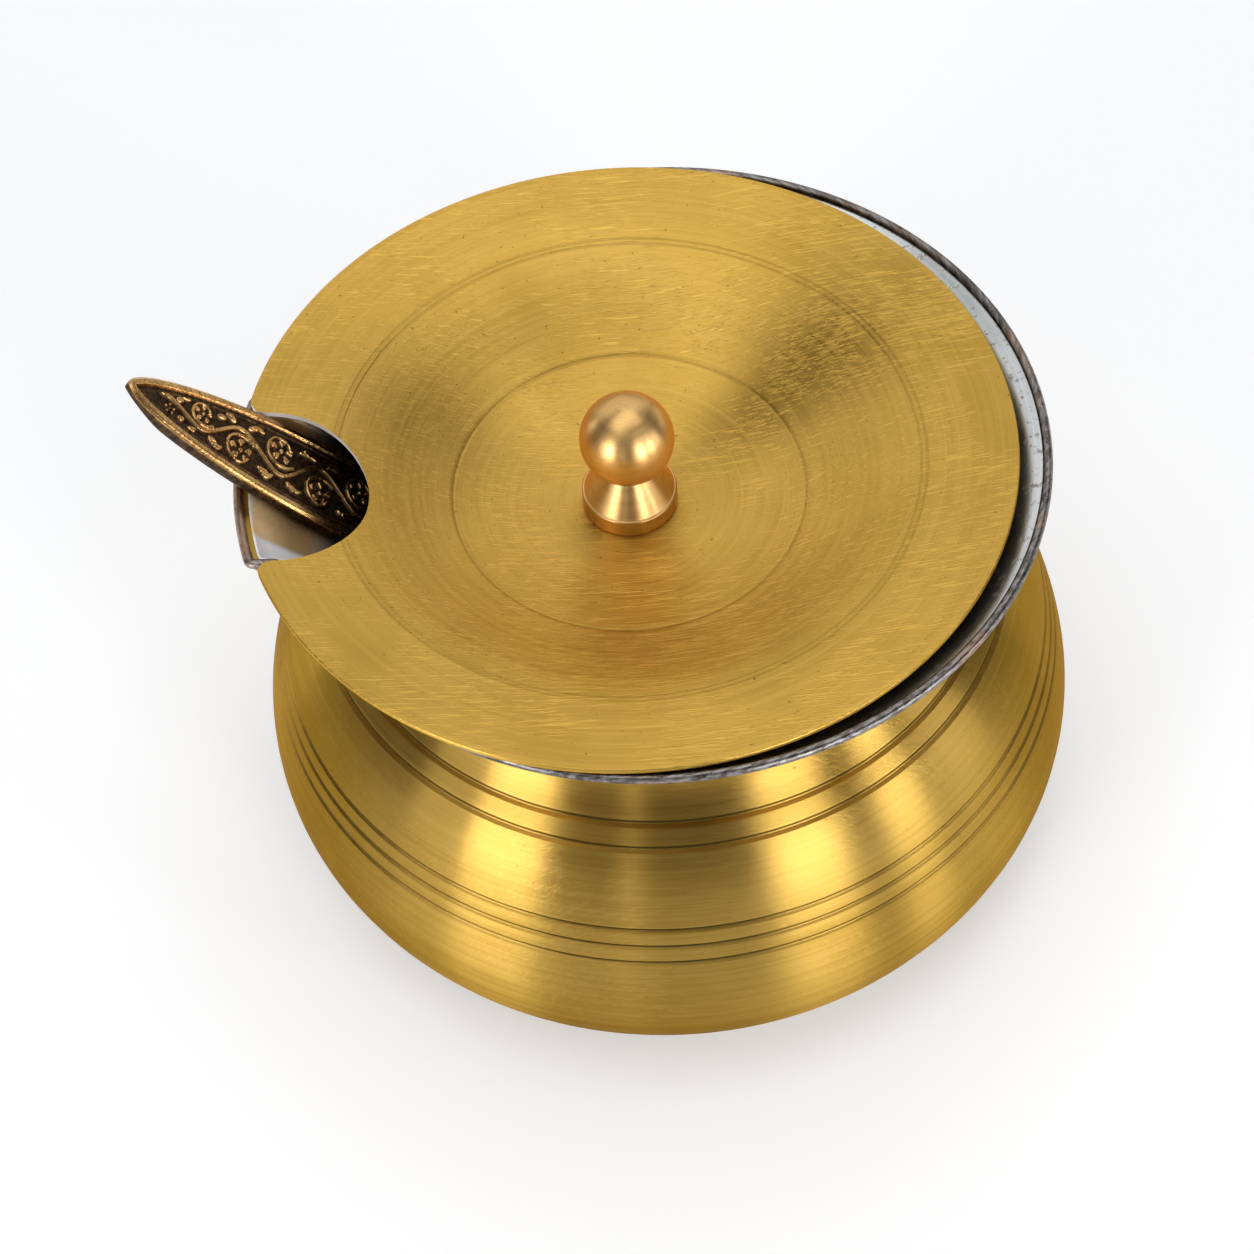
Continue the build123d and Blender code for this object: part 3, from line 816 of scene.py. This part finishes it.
spoon = {
    "tip": (-69.2648, 3.79692, 89.7590), "rise": 46.0, "turn": -2.2, "length": 121.3, "thick": 2.2,
    "tipThick": 0.55, "tipLength": 7, "width": 14.4, "wide": 33.0, "fullness": 3.2, "pull": 18.0,
    "taper": 14.0, "neck": 5.0, "neckPlace": 66.0, "border": 1.1, "recess": 0.45, "edge": 0.45,
    "bevel": 0.35, "bevelShare": 0.4, "sideHeights": (0.3, 0.72), "sideMarks": (0.40, 0.10, 0.55, 0.4),
    "firstRows": (0.02, 0.06, 0.12, 0.2, 0.3, 0.42), "faceEnd": 62, "neckStart": 62.4, "neckRows": 40,
    "intoBowl": 2.2, "rows": 620, "columns": 116, "sharpAngle": 42,
}
bowl = {
    "size": (34.0, 18.4, 4.6), "wall": 1.1, "drop": 1.3, "columns": 128, "rows": (22, 20), "rise": 0.28,
    "mark": 0.45, "rimMark": 0.9,
}
# the handle's face: spans are distances in from the edge, or along the handle for fade and end
relief = {
    "ease": 0.35, "beadStart": (1.62, 1.80), "beadEnd": (2.00, 2.18), "beadHeight": 0.16,
    "crown": (-0.05, 0.24), "moat": (-0.28, -0.04), "moatShare": 0.4, "height": 0.42,
    "field": (0.9, 1.2), "fade": (58, 62), "end": (62, 65.5), "edgeDrop": 0.30,
    "markBorder": 0.80, "markRaised": 0.90, "markBead": 0.45, "markEnd": 0.7, "reach": 2,
}
stem = {
    "flowers": (6.6, 12.0, 18.4, 25.2, 32.2, 39.2, 46.0, 52.4, 58.0), "margin": 1.75,
    "span": (3.6, 61.5), "step": 0.45, "swing": 0.62, "softening": 15, "width": 0.46,
    "flowerPlace": 0.36, "flowerShare": 0.40, "flowerMost": 1.9, "curlRoom": 2.6, "curlTurns": (-0.75, 0.85),
    "curlSteps": 16, "curlSize": (1.55, 1.50), "curlShrink": (0.03, 0.02), "curlWidth": (0.42, 0.010),
    "leafRoom": 2.0, "leafSize": 0.40, "leafAlong": 1.1, "leafPast": 1.6,
    # tilt, place across, bend and width of the leaves on the two sides
    "leaves": ((0.75, 0.58, 0.4, 0.80), (0.9, 0.62, 0.6, 0.70)),
}
# seed and petals, as shares of the flower's size, and a leaf's shape
petals = {"seed": 0.26, "count": 5, "turn": 0.3, "reaches": (0.50, 0.78), "widths": (0.16, 0.36)}
blade = {"steps": 10, "foot": 0.22, "belly": 1.9, "point": 0.8}


def bezier(points, count):
    u = np.linspace(0, 1, count)[:, None]
    a, b, c, d = (np.array(p, float) for p in points)
    return (1 - u) ** 3 * a + 3 * (1 - u) ** 2 * u * b + 3 * (1 - u) * u**2 * c + u**3 * d


def handleHalf(place):
    # half of the handle's width at each distance from the tip
    half, neck = spoon["width"] / 2, spoon["neck"] / 2
    wide, end, pull = spoon["wide"], spoon["neckPlace"], spoon["taper"]
    leaf = bezier([(0, 0), (0, spoon["fullness"]), (wide - spoon["pull"], half), (wide, half)], 400)
    taper = bezier([(wide, half), (wide + pull, half), (end - pull, neck), (end, neck)], 200)
    line = np.concatenate([leaf, taper[1:]])
    return np.interp(place, line[:, 0], line[:, 1])


def strokeDepth(x, y, points, widths):
    # how far inside a brush stroke each place is: above 0 is inside
    best = np.full(x.shape, -9.0)
    for i in range(len(points) - 1):
        (ax, ay), (bx, by) = points[i], points[i + 1]
        reach = max((bx - ax) ** 2 + (by - ay) ** 2, 1e-9)
        share = np.clip(((x - ax) * (bx - ax) + (y - ay) * (by - ay)) / reach, 0, 1)
        away = np.hypot(x - ax - share * (bx - ax), y - ay - share * (by - ay))
        best = np.maximum(best, widths[i] + share * (widths[i + 1] - widths[i]) - away)
    return best


def leafBlade(x, y, size, aim, bend, fat):
    # a plump leaf that curls as it leaves the stem, with its point last
    steps = np.linspace(0, 1, blade["steps"])
    points = [(x + size * s * cos(aim + bend * s), y + size * s * sin(aim + bend * s)) for s in steps]
    return points, [fat * (blade["foot"] + blade["belly"] * s * (1 - s) ** blade["point"]) for s in steps]


def rosette(x, y, size):
    # a round flower: a seed with five petals
    flower = [([(x, y), (x + nearlyZero, y)], [size * petals["seed"]] * 2)]
    for turn in np.arange(petals["count"]) * 2 * pi / petals["count"] + petals["turn"]:
        points = [(x + size * r * cos(turn), y + size * r * sin(turn)) for r in petals["reaches"]]
        flower.append((points, [size * width for width in petals["widths"]]))
    return flower


def ornament():
    # a waving stem down the handle that curls round a flower in each of its turns,
    # as strokes with their widths
    places = np.array(stem["flowers"])
    rooms = np.array([float(handleHalf(x)) - stem["margin"] for x in places])
    sides = np.array([1 if count % 2 else -1 for count in range(len(places))])
    waveX = np.arange(*stem["span"], stem["step"])
    swing = np.interp(waveX, places, -sides * rooms * stem["swing"])
    window = np.hanning(stem["softening"])
    swing = np.pad(swing, stem["softening"] // 2 - 1, mode="edge")
    eased = np.convolve(swing, window[1:-1] / window.sum(), mode="valid")
    strokes = [(list(zip(waveX, eased)), [stem["width"]] * len(waveX))]
    for x, room, side in zip(places, rooms, sides):
        middle = side * room * stem["flowerPlace"]
        size = min(room * stem["flowerShare"], stem["flowerMost"])
        strokes += rosette(x, middle, size)
        if room > stem["curlRoom"]:
            strokes.append(stemCurl(x, middle, size, side))
        if room > stem["leafRoom"]:
            length = room * stem["leafSize"]
            reaches = (stem["leafAlong"], size * stem["leafPast"])
            for lean in (-1, 1):
                for hand, along, (tilt, out, bend, fat) in zip((-side, side), reaches, stem["leaves"]):
                    spot = (x + lean * along, hand * room * out)
                    aim = hand * (pi / 2 - lean * tilt)
                    strokes.append(leafBlade(*spot, length, aim, -bend * lean * hand, fat))
    return strokes


def stemCurl(x, middle, size, side):
    # a curl round the flower that narrows and tightens as it goes
    (sizeX, sizeY), (shrinkX, shrinkY) = stem["curlSize"], stem["curlShrink"]
    (wide, fall), (first, last) = stem["curlWidth"], stem["curlTurns"]
    points = []
    for k, a in enumerate(np.linspace(first * pi, last * pi, stem["curlSteps"])):
        across = size * sizeX * cos(a) * (1 - shrinkX * k)
        points.append((x - across, middle + side * size * sizeY * sin(a) * (1 - shrinkY * k)))
    return points, [wide - fall * k for k in range(len(points))]


def handleFace(x, across):
    # height of the handle's face, and how much of it stands up, for places across from -1 to 1
    half = handleHalf(x)
    y = across * half
    slope = np.gradient(handleHalf(x[:, 0]), x[:, 0])
    lean = np.sqrt(1 + slope**2)[:, None]
    inner = (half - np.abs(y)) / lean  # distance in from the edge
    borderEnd = (spoon["border"], spoon["border"] + relief["ease"])
    border = ease(inner, 0.0, spoon["edge"]) - ease(inner, *borderEnd)
    bead = ease(inner, *relief["beadStart"]) - ease(inner, *relief["beadEnd"])
    raised = np.zeros_like(y)
    for points, widths in ornament():
        low = min(p[0] for p in points) - relief["reach"]
        high = max(p[0] for p in points) + relief["reach"]
        rows = np.nonzero((x[:, 0] > low) & (x[:, 0] < high))[0]
        if len(rows):
            depth = strokeDepth(x[rows], y[rows], points, widths)
            crown = ease(depth, *relief["crown"])
            moat = ease(depth, *relief["moat"]) * (depth < relief["moat"][1])
            raised[rows] = np.maximum(raised[rows] * (1 - relief["moatShare"] * moat), crown)
    field = ease(inner, *[spoon["border"] + f for f in relief["field"]])
    raised = raised * field * (1 - ease(x, *relief["fade"]))
    within = ease(inner, *borderEnd) * (1 - ease(x, *relief["end"]))
    standing = np.maximum(raised * relief["height"], bead * relief["beadHeight"] * within)
    height = -spoon["recess"] * within + standing * within
    roundOff = -relief["edgeDrop"] * (1 - ease(inner, 0, spoon["edge"]))
    mark = np.maximum(border * relief["markBorder"], raised * relief["markRaised"])
    mark = np.maximum(mark, bead * relief["markBead"]) + (1 - within) * relief["markEnd"]
    return height + roundOff, np.clip(mark, 0, 1)


def spoonPlace():
    rise, turn = radians(spoon["rise"]), radians(spoon["turn"])
    along = Vector((cos(turn) * cos(rise), sin(turn) * cos(rise), -sin(rise)))
    up = Vector((cos(turn) * sin(rise), sin(turn) * sin(rise), cos(rise)))
    side = up.cross(along)
    turned = Matrix((along, side, up)).transposed().to_4x4()
    return Matrix.Translation(Vector(spoon["tip"]) * mm) @ turned


def makeHandle():
    end = spoon["length"] - bowl["size"][0] + spoon["intoBowl"]
    *tipRows, faceStart = spoon["firstRows"]
    face = np.linspace(faceStart, spoon["faceEnd"], spoon["rows"])
    x = np.concatenate([tipRows, face, np.linspace(spoon["neckStart"], end, spoon["neckRows"])])
    across = np.linspace(-1, 1, spoon["columns"])
    grid = np.repeat(x[:, None], len(across), axis=1)
    half = handleHalf(grid)
    height, standing = handleFace(grid, across[None, :])
    rows = []
    marks = []
    high, low = spoon["sideHeights"]
    thin, full = spoon["tipThick"], spoon["thick"]
    # the side wall's marks: dark across the middle as painted shade, and a lighter line on the lower bevel
    # as a painted highlight
    sideMarks = [*spoon["sideMarks"], *spoon["sideMarks"][-2::-1]]
    for i in range(len(x)):
        under = full * (thin + (1 - thin) * ease(x[i], 0, spoon["tipLength"]))
        top = np.stack([grid[i], across * half[i], height[i]], axis=1)
        w = half[i, 0]
        bevel = min(spoon["bevel"], w * spoon["bevelShare"])
        side = [(w, -under * high), (w, -under * low), (w - bevel, -under), (0, -under)]
        side += [(-y, z) for y, z in side[-2::-1]]
        rows.append(np.concatenate([top, np.array([(x[i], y, z) for y, z in side])]))
        marks.append(np.concatenate([standing[i], sideMarks]))
    first, final = rows[0].mean(axis=0), rows[-1].mean(axis=0)
    rows = [np.tile(first, (len(rows[0]), 1))] + rows + [np.tile(final, (len(rows[0]), 1))]
    marks = [marks[0]] + marks + [marks[-1]]
    piece = gridMesh("handle", np.array(rows))
    markRaised(piece, marks)
    return piece


def makeBowl():
    # outside and inside of the bowl, each the cap of a long ball, joined over a rounded rim
    length, width, depth = bowl["size"]
    wall, rise = bowl["wall"], bowl["rise"]
    ball = (width**2 / 4 + depth**2) / (2 * depth)
    reach = ball * length / width
    turn = np.linspace(0, 2 * pi, bowl["columns"], endpoint=False)
    middle = ball - depth
    rows = []

    def ring(inset, level):
        # outline of one ball at a level measured up from its middle
        share = sqrt(max(0, 1 - (level / (ball - inset)) ** 2))
        x = (reach - inset) * share * np.cos(turn)
        y = (ball - inset) * share * np.sin(turn)
        return np.stack([x, y, np.full_like(turn, level)], axis=1)

    outerRows, innerRows = bowl["rows"]
    for level in -ball + depth * (1 - np.cos(np.linspace(0, pi / 2, outerRows))):
        rows.append(ring(0, level))
    outerRim, innerRim = rows[-1], ring(wall, -middle)
    rimStart = len(rows) - 1
    for share in (0.25, 0.5, 0.75):
        lift = rise * sin(pi * share)
        rows.append(outerRim * (1 - share) + innerRim * share + np.array([0, 0, lift - rise]))
    rimEnd = len(rows) + 1
    innerDepth = depth - wall
    for angle in np.linspace(pi / 2, 0, innerRows):
        rows.append(ring(wall, -middle - innerDepth + innerDepth * (1 - cos(angle))))
    grid = np.array(rows)
    grid[:, :, 0] += spoon["length"] - length / 2
    grid[:, :, 2] += middle - bowl["drop"]
    piece = gridMesh("bowl", grid)
    rubbed = np.full(grid.shape[:2], bowl["mark"])
    rubbed[rimStart:rimEnd] = bowl["rimMark"]
    markRaised(piece, rubbed)
    return piece


def rowOfBeadsTree():
    # small balls set along a line, sunk half into what carries them
    inputs = {
        "Bead radius": "Float", "Spacing": "Float", "Size change": "Float",
        "Seed": "Int", "Metal": "Material",
    }
    tree, given, end = newTree("beadsInRow", inputs)
    line = {"Curve": given["Geometry"], "Length": given["Spacing"]}
    spots = addNode(tree, "GeometryNodeCurveToPoints", line, mode="LENGTH")
    ball = addNode(tree, "GeometryNodeMeshIcoSphere", {"Radius": given["Bead radius"]}, {"Subdivisions": 2})
    low = 1.0 - Wire(tree, given["Size change"])
    chance = {"Min": low.socket, "Seed": given["Seed"]}
    size = addNode(tree, "FunctionNodeRandomValue", chance, {"Max": 1.0}, data_type="FLOAT")
    balls = {"Points": spots.outputs[0], "Instance": ball.outputs[0], "Scale": size.outputs[1]}
    placed = addNode(tree, "GeometryNodeInstanceOnPoints", balls)
    return finishTree(tree, end, placed, given["Metal"])


edgeBeads = {
    "span": (40, 63), "step": 0.5, "inset": 0.02, "depth": -0.62, "radius": 0.20, "spacing": 0.58,
    "change": 0.4, "seed": 7, "mark": 0.95,
}
bronze = antiqueBronze("antiqueBronze")
spoonParts = [makeHandle(), makeBowl()]
beadTrees = rowOfBeadsTree()
for hand in (-1, 1):
    places = np.arange(*edgeBeads["span"], edgeBeads["step"])
    line = [(x, hand * (float(handleHalf(x)) - edgeBeads["inset"]), edgeBeads["depth"]) for x in places]
    values = {
        "Bead radius": edgeBeads["radius"] * mm, "Spacing": edgeBeads["spacing"] * mm,
        "Size change": edgeBeads["change"], "Seed": edgeBeads["seed"] + hand, "Metal": bronze,
    }
    beads = runTree(lineCurve("edgeLine", line), beadTrees, values, "edgeBeads")
    markRaised(beads, [edgeBeads["mark"]] * len(beads.data.vertices))
    spoonParts.append(beads)
whole = bmesh.new()
for part in spoonParts:
    finishMesh(part, spoon["sharpAngle"])
    whole.from_mesh(part.data)
    bpy.data.objects.remove(part)
mesh = bpy.data.meshes.new("spoon_cast")
whole.to_mesh(mesh)
whole.free()
spoonPiece = link("spoon_cast", mesh)
spoonPiece.data.shade_smooth()
spoonPiece.data.set_sharp_from_angle(angle=radians(spoon["sharpAngle"]))
spoonPiece.data.transform(spoonPlace())
spoonPiece.data.materials.clear()
spoonPiece.data.materials.append(bronze)
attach(spoonPiece, "spoon")
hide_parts("spoon")
print("spoon made", len(spoonPiece.data.polygons))

# Floor, light and camera

studio = {
    # sizes in metres here
    "floorSize": 6.0, "air": (1.0, 1.0, 1.0, 1), "airGlow": 0.13,
    "lamps": (
        # name, place, height aimed at, width, height, glow
        ("overhead", (-0.04, 0.06, 1.30), 0.05, 1.60, 0.90, 1.60),
        ("farPanel", (-0.15, 1.35, 1.00), 0.10, 2.80, 1.50, 0.82),
        ("leftStrip", (-0.70, -0.71, 0.26), 0.05, 0.34, 0.50, 8.0),
        ("rightStrip", (0.50, -0.87, 0.26), 0.05, 0.32, 0.50, 8.0),
        ("rightEdge", (0.82, -0.56, 0.26), 0.05, 0.18, 0.45, 8.0),
        ("nearLine", (-0.23, -0.97, 0.26), 0.05, 0.05, 0.50, 3.0),
        ("leftDim", (-0.89, -0.45, 0.26), 0.05, 0.25, 0.45, 1.7),
        ("rightDim", (0.95, -0.25, 0.26), 0.05, 0.28, 0.45, 2.4),
        ("leftEdge", (-0.90, 0.44, 0.26), 0.05, 0.25, 0.40, 1.6),
        ("lowRight", (1.20, 0.78, 0.16), 0.08, 0.90, 0.30, 1.1),
    ),
}
camera = {
    "place": (-0.0057, -0.2229, 0.3386), "down": 54.18, "roll": -4.716, "lens": 71.77, "sensor": 36,
    "nearest": 0.01,
}

bpy.ops.mesh.primitive_plane_add(size=studio["floorSize"])
floor = bpy.context.object
floor.name = "floor"
floor.data.materials.append(floorPaint("floorPaint"))

world = bpy.data.worlds.new("studioAir")
scene.world = world
world.use_nodes = True
air = world.node_tree.nodes["Background"].inputs
air["Color"].default_value = studio["air"]
air["Strength"].default_value = studio["airGlow"]
scene.view_settings.view_transform = "Standard"

for name, place, aimHeight, width, height, glow in studio["lamps"]:
    light = bpy.data.lights.new(name, "AREA")
    light.shape, light.size, light.size_y = "RECTANGLE", width, height
    light.energy = glow * pi * width * height
    lamp = link(name, light)
    lamp.location = place
    aim = Vector((0, 0, aimHeight)) - Vector(place)
    lamp.rotation_euler = aim.to_track_quat("-Z", "Y").to_euler()

eye = bpy.data.cameras.new("eye")
eye.lens = camera["lens"]
eye.sensor_width = camera["sensor"]
eye.clip_start = camera["nearest"]
stand = link("eye", eye)
stand.matrix_world = (
    Matrix.Translation(camera["place"])
    @ Matrix.Rotation(radians(90 - camera["down"]), 4, "X")
    @ Matrix.Rotation(radians(camera["roll"]), 4, "Z")
)
scene.camera = stand
